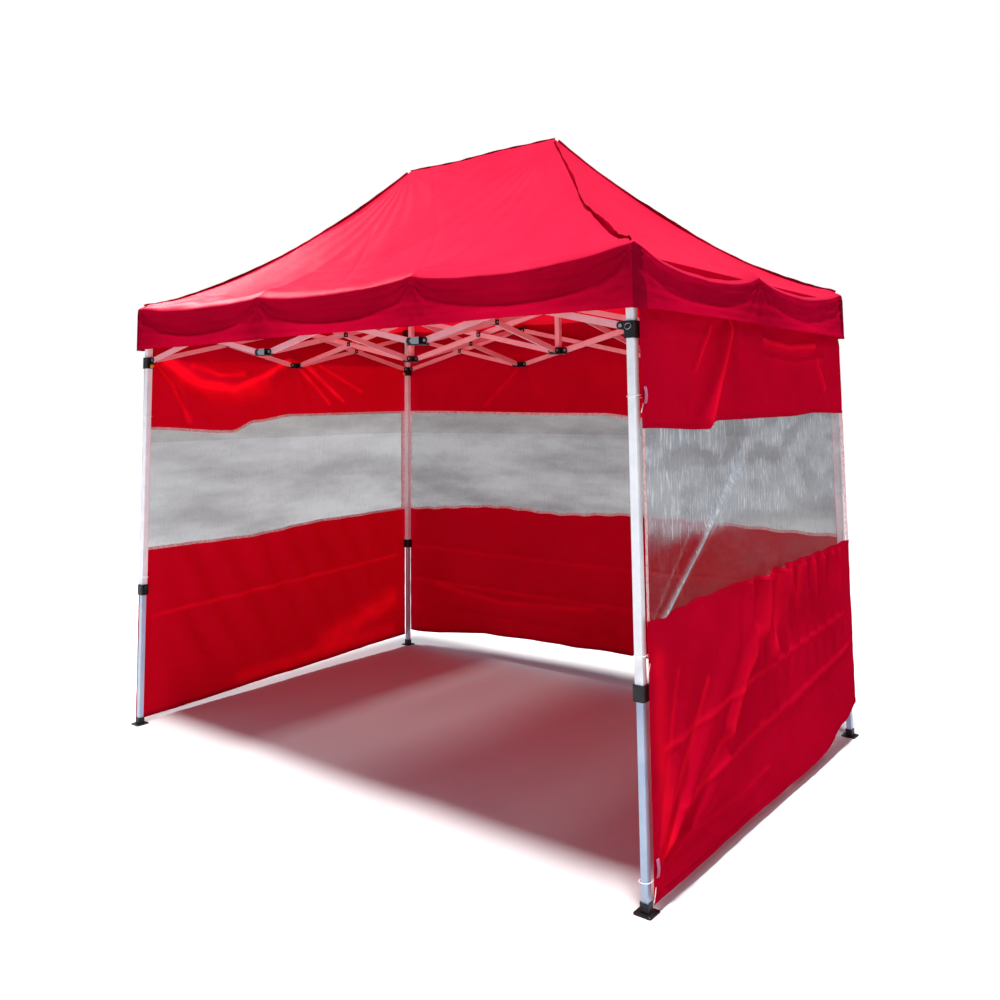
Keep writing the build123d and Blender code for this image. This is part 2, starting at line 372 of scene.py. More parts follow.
# Connectors, sliders, brackets and feet: moulded nylon, each riveted to the bars that it holds.
def rivets_round(name, z):
    """Picks the rivets of the node's own station at this height."""
    x, y, _ = middle_of(name)
    return near_axis(pins_round(x, y, z), RIVET_HEAD)


for name, piece in frame["nodes"].items():
    if "lower_connector" in name:
        finish_faces(piece.data, nylon, [(zinc, rivets_round(name, LOWER_PIN))])
name = "mast_upper_connector"
finish_faces(frame["nodes"][name].data, nylon, [(zinc, rivets_round(name, UPPER_PIN))])

# Masts: square steel tube standing in a connector, with a moulded cap under the roof's peak.
CONNECTOR_TOP, CAP_TALL = LOWER_PIN + 0.0145, 0.023
for name in ("mast_left", "mast_right"):
    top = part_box(name)[1][2]
    rules = [
        (zinc, rivets_round(name, LOWER_PIN)),
        (nylon, lambda c, top=top: c.z < CONNECTOR_TOP or c.z > top - CAP_TALL),
    ]
    finish_faces(frame["nodes"][name].data, bar_coat_painted_red_light, rules)

# Legs: square steel tube, the top bracket, the sleeve with its lock button, and the foot.
SLEEVE_LOW, SLEEVE_HIGH, BRACKET_LOW = 0.6455, 0.6985, 2.053
FOOT_TOP, GUIDE_LOW, LOWER_TUBE_HALF = 0.0345, 1.06, 0.0127
CORNERS = ("front_left", "front_right", "back_left", "back_right")
for corner in CORNERS:
    x, y, _ = middle_of(f"{corner}_lower_leg")
    rules = [
        (zinc, near_axis(pins_round(x, y, UPPER_PIN), RIVET_HEAD)),
        (nylon, lambda c: c.z > BRACKET_LOW or SLEEVE_LOW < c.z < SLEEVE_HIGH),
    ]
    finish_faces(frame["nodes"][f"{corner}_leg"].data, powder_coat, rules)

    def is_moulded(c, x=x, y=y):
        outside = max(abs(c.x - x), abs(c.y - y))
        return (c.z < FOOT_TOP and outside > LOWER_TUBE_HALF) or c.z > GUIDE_LOW

    finish_faces(frame["nodes"][f"{corner}_lower_leg"].data, leg_coat_painted_blue_shade, [(nylon, is_moulded)])

# Amber knob: dyed acetal, half gloss, that pulls the slider's locking pin.
amber, out = blank("amber_acetal")
place = node(amber, "ShaderNodeTexCoord").outputs["Object"]
scuffs = node(amber, "ShaderNodeTexNoise", {"Scale": 120.0, "Detail": 4.0}, {"Vector": place})
shader = node(
    amber,
    "ShaderNodeBsdfPrincipled",
    {"Subsurface Weight": 0.15, "Subsurface Radius": (0.004, 0.002, 0.001)},
    {
        "Base Color": ramp(
            amber, scuffs.outputs["Fac"], [(0.3, linear("#C8780C")), (0.7, linear("#E89A1E"))]
        ),
        "Roughness": ramp(amber, scuffs.outputs["Fac"], [(0.3, 0.5), (0.7, 0.3)]),
    },
)
shade(amber, out, shader.outputs["BSDF"])
KNOB_TOP, SLIDER_HALF = LOWER_PIN - 0.019, 0.0225
for corner in CORNERS:
    x, y, _ = middle_of(f"{corner}_lower_leg")

    def is_knob(c, x=x, y=y):
        return c.z < KNOB_TOP and max(abs(c.x - x), abs(c.y - y)) > SLIDER_HALF

    rules = [(zinc, near_axis(pins_round(x, y, LOWER_PIN), RIVET_HEAD)), (amber, is_knob)]
    finish_faces(frame["nodes"][f"{corner}_slider"].data, nylon, rules)

# Upper connectors: seven more of the same mouldings, one at each station between the legs. They stay level
# with the fixed one and close in on it as the frame folds.
HALF_X, HALF_Y = 1.5 * PITCH, PITCH  # leg centres


def share(value):
    return min(max(value, 0.0), 1.0)


def mesh_piece(name, vertices, faces, *finishes):
    mesh = bpy.data.meshes.new(name)
    mesh.from_pydata([tuple(v) for v in vertices], [], faces)
    mesh.update()
    mesh.polygons.foreach_set("use_smooth", [True] * len(mesh.polygons))
    return placed(name, mesh, *finishes)


def cells(rows, count):
    """The faces of a grid with this many rows of cells, and this many points in each row."""
    corners = [row * count + n for row in range(rows) for n in range(count - 1)]
    return [(a, a + 1, a + 1 + count, a + count) for a in corners]


def hang_between_legs(piece, mast_share=None):
    """The piece rides on the fixed connector's body, and each of its points is carried along by the four
    legs, in proportion to how near it is to each, so that it closes up exactly as the folding frame does.
    mast_share gives how far a point sinks with the masts."""
    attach(piece, "mast_upper_connector")
    points = np.array([v.co for v in piece.data.vertices])
    right = np.clip((points[:, 0] + HALF_X) / (2 * HALF_X), 0, 1)
    back = np.clip((points[:, 1] + HALF_Y) / (2 * HALF_Y), 0, 1)
    weights = {
        "front_left_leg": (1 - right) * (1 - back),
        "front_right_leg": right * (1 - back),
        "back_left_leg": (1 - right) * back,
        "back_right_leg": right * back,
    }
    if mast_share is not None:
        weights["mast_left"] = np.clip(mast_share, 0, 1)
    for body, weight in weights.items():
        group = piece.vertex_groups.new(name=body)
        for value in np.unique(np.round(weight, 4)):
            if value > 0:
                group.add(np.flatnonzero(np.round(weight, 4) == value).tolist(), float(value), "REPLACE")
        pull = piece.modifiers.new(body, "HOOK")
        pull.object = frame["bodies"][body]
        pull.vertex_group = body
        pull.falloff_type = "NONE"
        pull.matrix_inverse = Matrix.Identity(4)
    return piece


CONNECTOR_REACH = 0.1  # a connector's own points lie nearer than this to its station
source = frame["nodes"]["upper_connectors"].data
stations = {
    "front_1": (-PITCH / 2, -PITCH),
    "front_2": (PITCH / 2, -PITCH),
    "back_1": (-PITCH / 2, PITCH),
    "back_2": (PITCH / 2, PITCH),
    "left": (-HALF_X, 0),
    "right": (HALF_X, 0),
    "mast_right": (PITCH / 2, 0),
}
for title, (x, y) in stations.items():
    work = bmesh.new()
    work.from_mesh(source)
    far = [v for v in work.verts if max(abs(v.co.x - x), abs(v.co.y - y)) > CONNECTOR_REACH]
    bmesh.ops.delete(work, geom=far, context="VERTS")
    mesh = bpy.data.meshes.new(f"upper_connector_{title}")
    work.to_mesh(mesh)
    work.free()
    finish_faces(mesh, nylon, [(zinc, near_axis(pins_round(x, y, UPPER_PIN), RIVET_HEAD))])
    piece = placed(f"upper_connector_{title}", mesh)
    hang_between_legs(piece)
    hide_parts("upper_connectors")

# Roof: one cover of coated polyester, four slopes sewn together along the hips and the ridge, with a valance
# sewn on all round. The masts hold up its two peaks, the legs and connectors its eaves, and it sags between.
EAVE_X, EAVE_Y, EAVE_Z, PEAK_Z = 1.51, 1.02, 2.150, 2.903
CELL = 0.01
VALANCE_DROP = 0.240
EDGE_ROUND, EDGE_FALL = 0.05, 0.020  # how far in the turned down edge reaches, and how low it ends


def roof_sag(reach):
    """How high the cover stands at this share of the way from the eave to the ridge."""
    return reach - 0.6 * reach * (1 - reach)


def smooth_step(value):
    value = share(value)
    return value * value * (3 - 2 * value)


# the eave's height at each support, and how far it dips in each span from one support to the next
eaves = {
    "front": ([-EAVE_X, -PITCH / 2, PITCH / 2, EAVE_X], [0.0, -0.018, -0.016, 0.0], [0.030, 0.034, 0.044]),
    "back": ([-EAVE_X, -PITCH / 2, PITCH / 2, EAVE_X], [0.0, -0.018, -0.016, 0.0], [0.034, 0.030, 0.036]),
    "left": ([-EAVE_Y, 0.0, EAVE_Y], [0.0, -0.016, 0.0], [0.045, 0.050]),
    "right": ([-EAVE_Y, 0.0, EAVE_Y], [0.0, -0.014, 0.0], [0.072, 0.058]),
}


def span_at(side, at):
    """(which span of a side this place is in, how far along it from 0 to 1)."""
    supports = eaves[side][0]
    for i, (a, b) in enumerate(zip(supports, supports[1:])):
        if at <= b or i == len(supports) - 2:
            return i, share((at - a) / (b - a))


def eave_shift(side, at):
    """How far the eave lies below the straight line from corner to corner."""
    supports, heights, dips = eaves[side]
    i, along = span_at(side, at)
    level = heights[i] + (heights[i + 1] - heights[i]) * along
    return level - dips[i] * (4 * along * (1 - along)) ** 0.8


def ripple(x, y, z, size, seed):
    """Smooth noise between about -1 and 1, with features of this size."""
    return noise.noise(Vector((x / size + seed, y / size - seed, z / size)))


PACKING_FOLDS = (
    [(0.45, -0.95), (0.10, -0.42), (-0.30, -0.02)],
    [(-0.05, -0.90), (-0.42, -0.35)],
    [(-0.62, -0.80), (-0.20, -0.30), (0.05, -0.05)],
    [(1.05, -0.85), (0.62, -0.40)],
    [(0.85, -0.62), (0.30, -0.72), (-0.50, -0.70)],
    [(0.95, 0.10), (1.30, 0.45)],
    [(0.70, 0.60), (0.20, 0.20), (-0.30, 0.55)],
    [(-0.95, -0.15), (-1.25, 0.30)],
    [(-0.40, 0.85), (0.25, 0.75)],
)


def groove(at, z, line, size, wide):
    """One soft ridge along a line of (place, height) points."""
    best = 9.0
    for (a, za), (b, zb) in zip(line, line[1:]):
        ab, az = b - a, zb - za
        t = share(((at - a) * ab + (z - za) * az) / (ab * ab + az * az))
        best = min(best, math.hypot(at - a - t * ab, z - za - t * az))
    return size * math.exp(-((best / wide) ** 2)) if best < 3 * wide else 0.0


def roof_height(x, y):
    from_side, from_end = EAVE_Y - abs(y), EAVE_X - abs(x)
    reach = share(min(from_side, from_end) / EAVE_Y)
    z = EAVE_Z + (PEAK_Z - EAVE_Z) * roof_sag(reach)
    # between the hips the cloth hangs a little lower than along them
    if from_side < from_end:
        half = EAVE_X - from_side
        z -= 0.030 * (1 - (abs(x) / half) ** 2) * math.sin(math.pi * reach) ** 1.2 if half else 0
    else:
        half = EAVE_Y - from_end
        z -= 0.026 * (1 - (abs(y) / half) ** 2) * math.sin(math.pi * reach) ** 1.2 if half > 1e-6 else 0
    # near the eave it follows the supports
    total, weight = 0.0, 0.0
    for side, away, at in (
        ("front", EAVE_Y + y, x),
        ("back", EAVE_Y - y, x),
        ("left", EAVE_X + x, y),
        ("right", EAVE_X - x, y),
    ):
        w = math.exp(-away / 0.05)
        total += w * eave_shift(side, at) * math.exp(-away / 0.30)
        weight += w
    z += total / weight
    # the cloth is rounded where it turns down over the edge
    edge = min(from_side, from_end)
    if edge < EDGE_ROUND:
        z -= EDGE_FALL * ((EDGE_ROUND - edge) / EDGE_ROUND) ** 2
    # soft wrinkles run out from the peaks, and fainter ones run level near the eave
    fade = smooth_step(edge / 0.12)
    peak = math.copysign(PITCH / 2, x)
    angle, away = math.atan2(y, x - peak), math.hypot(x - peak, y)
    if away > 1e-6:
        rays = math.sin(23 * angle + 2.0 * ripple(x, y, 0, 0.4, 3))
        z += 0.0022 * fade * rays * smooth_step(away / 0.15) * math.exp(-away / 0.8)
    z += 0.0060 * fade * ripple(x, y, 0, 0.33, 11)
    # the fold lines left from its packing
    for line in PACKING_FOLDS:
        z -= fade * groove(x, y, line, 0.0022, 0.009)
    # short folds fan out from each corner
    cx, cy = EAVE_X - abs(x), EAVE_Y - abs(y)
    corner_away = math.hypot(cx, cy)
    if 0.01 < corner_away < 0.7:
        folds = math.sin(13 * math.atan2(cy, cx) + 0.6)
        z += 0.0055 * folds * smooth_step(corner_away / 0.08) * math.exp(-corner_away / 0.22)
    z += 0.0018 * fade * ripple(x, y, 0, 0.09, 5)
    along_eave = (x * 0.35, y) if from_side < from_end else (x, y * 0.35)
    z += 0.0040 * (1 - smooth_step(edge / 0.35)) * ripple(*along_eave, 0, 0.055, 7)
    return z


columns, rows = round(2 * EAVE_X / CELL), round(2 * EAVE_Y / CELL)
vertices, faces = [], []
for j in range(rows + 1):
    for i in range(columns + 1):
        x, y = -EAVE_X + i * CELL, -EAVE_Y + j * CELL
        vertices.append((x, y, roof_height(x, y)))
width = columns + 1
for j in range(rows):
    for i in range(columns):
        a, b, c, d = j * width + i, j * width + i + 1, (j + 1) * width + i + 1, (j + 1) * width + i
        # near a hip the cells are cut along it, so that the crease is sharp
        x, y = -EAVE_X + (i + 0.5) * CELL, -EAVE_Y + (j + 0.5) * CELL
        if abs((EAVE_Y - abs(y)) - (EAVE_X - abs(x))) < CELL * 0.5:
            faces += [(a, b, c), (a, c, d)] if x * y > 0 else [(a, b, d), (b, c, d)]
        else:
            faces.append((a, b, c, d))

# the valance: points round the edge, and how far each row hangs in or out
rim = [(i, 0, "front") for i in range(columns)] + [(columns, j, "right") for j in range(rows)]
rim += [(columns - i, rows, "back") for i in range(columns)] + [(0, rows - j, "left") for j in range(rows)]
OUTWARD = {"front": (0, -1), "right": (1, 0), "back": (0, 1), "left": (-1, 0)}
VALANCE_ROWS = 30
swag_depth = {
    "front": (0.040, 0.046, 0.040),
    "back": (0.030, 0.034, 0.030),
    "left": (0.030, 0.032),
    "right": (0.034, 0.030),
}


def valance_out(side, at, down):
    """How far the valance stands out at this share of its drop. Between two supports the cloth above the swag
    line sinks in, and below it the hem holds it out."""
    i, along = span_at(side, at)
    bow = 4 * along * (1 - along)
    line = 0.10 + 0.58 * bow**0.6
    depth = swag_depth[side][i] * bow**0.5
    inward = 0.55 if side == "front" else 0.10  # behind the other three sides hang the walls
    if down < line:
        out = -depth * inward * (down / line) ** 0.9
    else:
        out = depth * (((down - line) / (1 - line)) ** 0.8 - inward)
    supports = eaves[side][0]
    for k, support in enumerate(supports):
        dx, dz = at - support, (down - 0.06) * VALANCE_DROP
        away = math.hypot(dx, dz)
        fan = math.sin(11 * math.atan2(dz, abs(dx) + 1e-4) + k + 1.7 * ripple(at, down, 0, 0.2, 2))
        out += 0.0044 * fan * smooth_step(away / 0.03) * math.exp(-away / 0.15)
    out += 0.0030 * ripple(at * 0.4, down * 0.9, ord(side[0]), 0.11, 4)
    out += 0.0015 * ripple(at, down * VALANCE_DROP, ord(side[0]), 0.05, 9)
    return out


slope_faces = len(faces)
ring = [j * width + i for i, j, _ in rim]
tops = [vertices[k] for k in ring]
CORNER_FADE = 0.035  # the swags die away over this length towards a corner
HEM_ROWS, HEM_THICK = 2, 0.0012  # the hem is two more layers of cloth
for row in range(1, VALANCE_ROWS + 1):
    down = row / VALANCE_ROWS
    current = []
    for (x, y, top), (_, _, side) in zip(tops, rim):
        at = x if side in ("front", "back") else y
        half = EAVE_X if side in ("front", "back") else EAVE_Y
        near_corner = smooth_step((half - abs(at)) / CORNER_FADE)
        out = valance_out(side, at, down) * near_corner + 0.004 * min(1, down * 8)
        low = EAVE_Z - VALANCE_DROP + 0.004 * ripple(at, 0, ord(side[0]), 0.35, 6)
        if row >= VALANCE_ROWS - HEM_ROWS:
            out += HEM_THICK
        ox, oy = OUTWARD[side]
        if near_corner < 0.02:  # a corner point goes out both ways
            ox, oy = math.copysign(0.7, x), math.copysign(0.7, y)
        z = top + (low - top) * down
        current.append(len(vertices))
        vertices.append((x + ox * out, y + oy * out, z))
    for n in range(len(rim)):
        m = (n + 1) % len(rim)
        faces.append((ring[m], ring[n], current[n], current[m]))
    ring = current

# Coated Oxford polyester: a matt red weave whose thin coat glows where light comes through. Threads are
# 0.6 mm apart, too fine to show, so the weave is drawn at 2.4 mm. Sharp fold lines are left from its packing.
def coated_cloth(name, hue, deep, glow, crumple_depth=0.006, gloss=0.0, gloss_tint="#FF2C48"):
    cloth, out = blank(name)
    place = node(cloth, "ShaderNodeTexCoord").outputs["Object"]
    threads = []
    for way in ("X", "Z", "Y"):
        wave = node(cloth, "ShaderNodeTexWave", {"Scale": 131.0, "bands_direction": way}, {"Vector": place})
        threads.append(wave.outputs["Fac"])
    weave = node(cloth, "ShaderNodeMath", {"operation": "MULTIPLY"}, {0: threads[0], 1: threads[1]})
    weave = node(cloth, "ShaderNodeMath", {"operation": "ADD"}, {0: weave.outputs[0], 1: threads[2]})
    clouds = node(
        cloth, "ShaderNodeTexNoise", {"Scale": 2.2, "Detail": 5.0, "Roughness": 0.6}, {"Vector": place}
    )
    crumple = node(
        cloth, "ShaderNodeTexNoise", {"Scale": 17.0, "Detail": 4.0, "Roughness": 0.5}, {"Vector": place}
    )
    # sharp little fold marks, where the crumpled height turns over
    pleat = node(
        cloth,
        "ShaderNodeTexNoise",
        {"Scale": 5.0, "Detail": 2.0, "Distortion": 0.6, "noise_type": "RIDGED_MULTIFRACTAL"},
        {"Vector": place},
    )
    marks = ramp(cloth, pleat.outputs["Fac"], [(0.62, 0.0), (0.95, 1.0)])
    crumple_bump = node(
        cloth, "ShaderNodeBump", {"Strength": 0.22, "Distance": crumple_depth}, {"Height": crumple.outputs["Fac"]}
    )
    mark_bump = node(
        cloth,
        "ShaderNodeBump",
        {"Strength": 0.25, "Distance": 0.002},
        {"Height": marks, "Normal": crumple_bump.outputs["Normal"]},
    )
    weave_bump = node(
        cloth,
        "ShaderNodeBump",
        {"Strength": 0.10, "Distance": 0.0005},
        {"Height": weave.outputs[0], "Normal": mark_bump.outputs["Normal"]},
    )
    even_colour = ramp(cloth, clouds.outputs["Fac"], [(0.3, linear(deep)), (0.7, linear(hue))])
    # along chosen fold lines the cloth is painted brighter and lets more light through: painted glow and painted
    # highlights
    painted_glow = node(cloth, "ShaderNodeAttribute", {"attribute_name": "painted_glow"}).outputs["Fac"]
    lit = node(
        cloth, "ShaderNodeMix", {"data_type": "RGBA", 7: linear("#FF1236")}, {0: painted_glow, 6: even_colour}
    )
    share_through = node(
        cloth, "ShaderNodeMath", {"operation": "MULTIPLY_ADD", 1: 0.45, 2: glow}, {0: painted_glow}
    )
    front = node(
        cloth,
        "ShaderNodeBsdfPrincipled",
        {"Specular IOR Level": gloss, "Specular Tint": linear(gloss_tint)},
        {
            "Base Color": lit.outputs[2],
            "Roughness": ramp(cloth, clouds.outputs["Fac"], [(0.3, 0.40), (0.7, 0.52)]),
            "Normal": weave_bump.outputs["Normal"],
        },
    )
    through = node(
        cloth, "ShaderNodeBsdfTranslucent", {"Color": linear("#F80514")}, {"Normal": crumple_bump.outputs["Normal"]}
    )
    both = node(
        cloth,
        "ShaderNodeMixShader",
        links={0: share_through.outputs[0], 1: front.outputs["BSDF"], 2: through.outputs["BSDF"]},
    )
    return shade(cloth, out, both.outputs["Shader"])


# the slopes and the valance are one cloth: the slopes' paler pink is painted sunlight and sheen, the valance's deeper
# red is painted shade
roof_gloss = {"gloss": 0.02, "gloss_tint": "#FFD0D8"}
sunlit_roof_cloth = coated_cloth("coated_red_polyester_roof_painted_sunlight", "#DC2448", "#D01C40", 0.24, **roof_gloss)
shaded_valance_cloth = coated_cloth("coated_red_polyester_valance_painted_shade", "#B0042C", "#980324", 0.12)
roof = mesh_piece("roof_cover", vertices, faces, sunlit_roof_cloth, shaded_valance_cloth)
roof.data.polygons.foreach_set("material_index", [0] * slope_faces + [1] * (len(faces) - slope_faces))


def mast_share_of(heights):
    return (np.array(heights) - EAVE_Z) / (PEAK_Z - EAVE_Z)


hang_between_legs(roof, mast_share_of([v[2] for v in vertices]))
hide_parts("roof")

# Roof seams: the edges of the slopes are sewn together outside. The seam stands up as a wavy fin, 14 mm high
# along the hips and 8 mm along the ridge.
FIN, RIDGE_FIN, FIN_THICK = 0.014, 0.008, 0.0016
seam_cloth = coated_cloth("coated_red_polyester_seam", "#A0041F", "#780216", 0.05)
CORNER_WAYS = (("front_left", -1, -1), ("front_right", 1, -1), ("back_left", -1, 1), ("back_right", 1, 1))


def even(step):
    return 1.0


def ribbon(name, path, ups, sides, height, thick, wave, material, swell=even):
    """A strip standing on a path, its free edge waving from side to side, and taller where it swells."""
    vertices, faces = [], []
    for k, (p, up, side) in enumerate(zip(path, ups, sides)):
        p, up, side = Vector(p), Vector(up), Vector(side)
        lean = side * wave(k)
        tall = height * (0.85 + 0.15 * ripple(k * 0.02, 0, 0, 0.07, len(path))) * swell(k)
        for s in (-1, 1):
            vertices.append(p + side * s * thick / 2 - up * 0.002)
            vertices.append(p + side * s * thick / 2 + lean * 0.5 + up * tall * 0.6)
            vertices.append(p + side * s * thick / 2 + lean + up * tall)
    for k in range(len(path) - 1):
        a, b = 6 * k, 6 * (k + 1)
        for m, n in ((0, 1), (1, 2), (2, 5), (5, 4), (4, 3)):
            faces.append((a + m, a + n, b + n, b + m))
    for a in (0, 6 * (len(path) - 1)):
        faces += [(a, a + 1, a + 4, a + 3), (a + 1, a + 2, a + 5, a + 4)]
    return mesh_piece(name, vertices, faces, material)


def hip_path(sx, sy):
    path = []
    for k in range(0, 101):
        reach = 0.02 + 0.97 * k / 100
        x = sx * (EAVE_X - reach * EAVE_Y)
        y = sy * (EAVE_Y - reach * EAVE_Y)
        path.append((x, y, roof_height(x, y)))
    return path


def broad_fold(k):
    """The front right seam is pushed over into a broad fold in its lower half."""
    return 1.0 + 1.2 * math.exp(-(((k - 27) / 16) ** 2))


for name, sx, sy in CORNER_WAYS:
    path = hip_path(sx, sy)
    side = Vector((sx, -sy, 0)).normalized()
    ups = [Vector((sx * 0.35, sy * 0.35, 0.87)).normalized()] * len(path)

    def wave(k, s=sx + 2 * sy):
        return 0.007 * ripple(k * 0.0145, s, 0, 0.10, 41) + 0.008 * math.sin(k * 0.13 + 2 * s)

    swell = broad_fold if name == "front_right" else even
    fin = ribbon(f"hip_seam_{name}", path, ups, [side] * len(path), FIN, FIN_THICK, wave, seam_cloth, swell)
    hang_between_legs(fin, mast_share_of([v.co.z for v in fin.data.vertices]))
along = [-PITCH / 2 + PITCH * k / 80 for k in range(81)]
path = [(x, 0.0, roof_height(x, 0.0)) for x in along]
wave = lambda k: 0.003 * math.sin(k * 0.5)
fin = ribbon("ridge_seam", path, [(0, 0, 1)] * 81, [(0, 1, 0)] * 81, RIDGE_FIN, FIN_THICK, wave, seam_cloth)
hang_between_legs(fin, mast_share_of([v.co.z for v in fin.data.vertices]))

# Corner bands: a second layer of cloth sewn down each corner of the valance, where the leg rubs.
band_cloth = coated_cloth("coated_red_polyester_band", "#8E0526", "#6C031A", 0.03, 0.010)
BAND_WIDE = 0.050
STEPS, TALL = 12, 30
for name, sx, sy in CORNER_WAYS:
    vertices = []
    end = "right" if sx > 0 else "left"
    for k in range(TALL + 1):
        down = k / TALL
        for m in range(-2, STEPS + 1):
            w = BAND_WIDE * max(m, 0) / STEPS
            inner = math.sin(math.pi * share(w / BAND_WIDE))
            wobble = 0.0022 * ripple(w * 5, down * 1.1, sx + 2 * sy, 0.12, 8) * inner
            at = sy * (EAVE_Y - w)
            fade = smooth_step(w / CORNER_FADE)
            stand = valance_out(end, at, down) * fade + 0.004 * min(1, down * 8) + 0.0022 + wobble
            x, y = sx * (EAVE_X + stand), sy * (EAVE_Y + 0.0035 - w)
            if m < 0:  # turned a little way round the corner
                x, y = sx * (EAVE_X + 0.004 + 0.005 * m), sy * (EAVE_Y + 0.0058)
            top = roof_height(sx * EAVE_X, sy * (EAVE_Y - w)) - 0.004
            vertices.append((x, y, top + (EAVE_Z - VALANCE_DROP - 0.001 - top) * down))
    band = mesh_piece(f"corner_band_{name}", vertices, cells(TALL, STEPS + 3), band_cloth)
    hang_between_legs(band)

# Side walls: each is an upper and a lower band of the same red cloth with a band of clear vinyl sewn between.
# They hang inside the valance on hook tape, and ties hold their ends to the legs.
WALL_TOP, WALL_OUT = 2.095, 0.032


def along_line(points, at):
    """The height of a polyline, given as (place, height) points, at a place."""
    if at <= points[0][0]:
        return points[0][1]
    for (a, za), (b, zb) in zip(points, points[1:]):
        if at <= b:
            return za + (zb - za) * smooth_step((at - a) / (b - a))
    return points[-1][1]


def fan(at, z, apex, toward, spread, count, size, reach):
    """Ridges that run out from a point, strongest along the middle of the fan."""
    dx, dz = at - apex[0], z - apex[1]
    away = math.hypot(dx, dz)
    if away < 1e-4:
        return 0.0
    angle = math.atan2(dz, dx) - math.radians(toward)
    angle = (angle + math.pi) % (2 * math.pi) - math.pi
    inside = smooth_step(1 - abs(angle) / math.radians(spread))
    ridge = math.cos(count * angle + 0.8 * ripple(at, z, 0, 0.3, count))
    return size * inside * ridge * smooth_step(away / 0.12) * math.exp(-away / reach)


def left_shape(at, z):
    out = fan(at, z, (0.02, 1.93), -40, 75, 15, 0.013, 0.45)
    out += fan(at, z, (0.0, 1.93), -120, 55, 11, 0.013, 0.40)
    swag = [(-0.86, 1.84), (-0.62, 1.72), (-0.38, 1.69), (-0.16, 1.77), (0.0, 1.88)]
    out += groove(at, z, swag, 0.034, 0.050)
    out -= groove(at, z, [(-0.80, 1.90), (-0.58, 1.81), (-0.36, 1.79), (-0.15, 1.85)], 0.022, 0.045)
    # thin creases run down from the middle support
    for far, low in ((0.30, 1.62), (0.42, 1.64), (0.55, 1.70)):
        out += groove(at, z, [(0.06, 1.86), (far, low)], 0.006, 0.009)
    out += groove(at, z, [(-0.90, 1.86), (-0.76, 1.70), (-0.72, 1.52)], 0.008, 0.02)
    out += groove(at, z, [(-0.78, 1.62), (-0.60, 1.52)], -0.006, 0.03)
    slanting = math.sin(2 * math.pi * (at + 0.55 * z) / 0.23 + 1.5 * ripple(at, z, 0, 0.5, 21))
    fade = smooth_step((1.0 - z) / 0.15)
    out += 0.010 * slanting * fade * smooth_step(z / 0.3) * smooth_step((0.9 - abs(at)) / 0.3)
    out += groove(at, z, [(-0.9, 0.52), (0.9, 0.60)], 0.0025, 0.010)
    out += groove(at, z, [(-0.9, 0.27), (0.9, 0.30)], 0.0025, 0.010)
    out += groove(at, z, [(-0.3, 0.16), (0.85, 0.40)], 0.010, 0.045)
    return out


def back_shape(at, z):
    out = 0.0
    for level, size in ((1.84, 0.002), (0.66, 0.003), (0.44, 0.004), (0.27, 0.003)):
        out += groove(at, z, [(-1.45, level), (0.0, level - 0.012), (1.45, level + 0.01)], size, 0.012)
    out += groove(at, z, [(-1.25, 0.42), (-0.7, 0.36), (0.0, 0.40)], 0.006, 0.03)
    for apex in (-PITCH / 2, PITCH / 2):
        out += fan(at, z, (apex, 1.93), -90, 80, 9, 0.007, 0.35)
    out += 0.004 * math.sin(2 * math.pi * (at - 0.4 * z) / 0.5) * smooth_step((0.9 - z) / 0.4)
    return out


def right_shape(at, z):
    out = groove(at, z, [(-0.27, 1.95), (-0.40, 1.72), (-0.52, 1.53)], 0.034, 0.028)
    out -= groove(at, z, [(-0.34, 1.93), (-0.46, 1.74), (-0.60, 1.55)], 0.012, 0.035)
    out += groove(at, z, [(-0.46, 1.88), (-0.60, 1.72)], 0.014, 0.014)
    out += groove(at, z, [(0.62, 1.80), (0.72, 1.66)], 0.012, 0.016)
    out += groove(at, z, [(-0.88, 1.88), (-0.86, 1.62)], 0.006, 0.020)
    crease = [(-0.22, 1.95), (-0.24, 1.70), (-0.22, 1.36), (-0.54, 1.14), (-0.88, 0.90)]
    out += groove(at, z, crease, 0.013, 0.016)
    out += fan(at, z, (-0.26, 1.95), -110, 60, 10, 0.007, 0.30)
    out += groove(at, z, [(0.02, 1.850), (0.30, 1.835), (0.60, 1.855)], 0.016, 0.018)
    out += groove(at, z, [(0.02, 1.790), (0.34, 1.775), (0.72, 1.800)], 0.007, 0.012)
    out += groove(at, z, [(-0.80, 1.84), (-0.50, 1.845)], 0.004, 0.012)
    out += groove(at, z, [(-0.62, 1.90), (-0.34, 1.92)], 0.006, 0.02)
    # gathers under the window, and a broad fold that falls from them towards the front foot
    under = smooth_step((0.92 - z) / 0.03) * smooth_step((z - 0.45) / 0.3)
    gathers = math.sin(2 * math.pi * at / 0.115 + 2.2 * ripple(at, z, 0, 0.25, 31))
    out += 0.018 * gathers * under * smooth_step((at + 0.35) / 0.25) * smooth_step((0.95 - at) / 0.2)
    out += groove(at, z, [(-0.06, 0.92), (-0.10, 0.72), (-0.30, 0.55), (-0.42, 0.42)], 0.034, 0.040)
    out += groove(at, z, [(0.14, 0.92), (0.12, 0.74), (0.02, 0.58)], 0.022, 0.028)
    out += fan(at, z, (-0.97, 0.10), 42, 46, 17, 0.022, 0.80)
    out += groove(at, z, [(-0.88, 0.47), (-0.30, 0.53), (0.88, 0.60)], 0.0050, 0.009)
    out += groove(at, z, [(-0.80, 0.27), (-0.35, 0.33), (0.20, 0.36), (0.92, 0.44)], 0.0060, 0.010)
    out += groove(at, z, [(-0.80, 0.185), (-0.35, 0.15), (-0.05, 0.17)], 0.0050, 0.010)
    return out
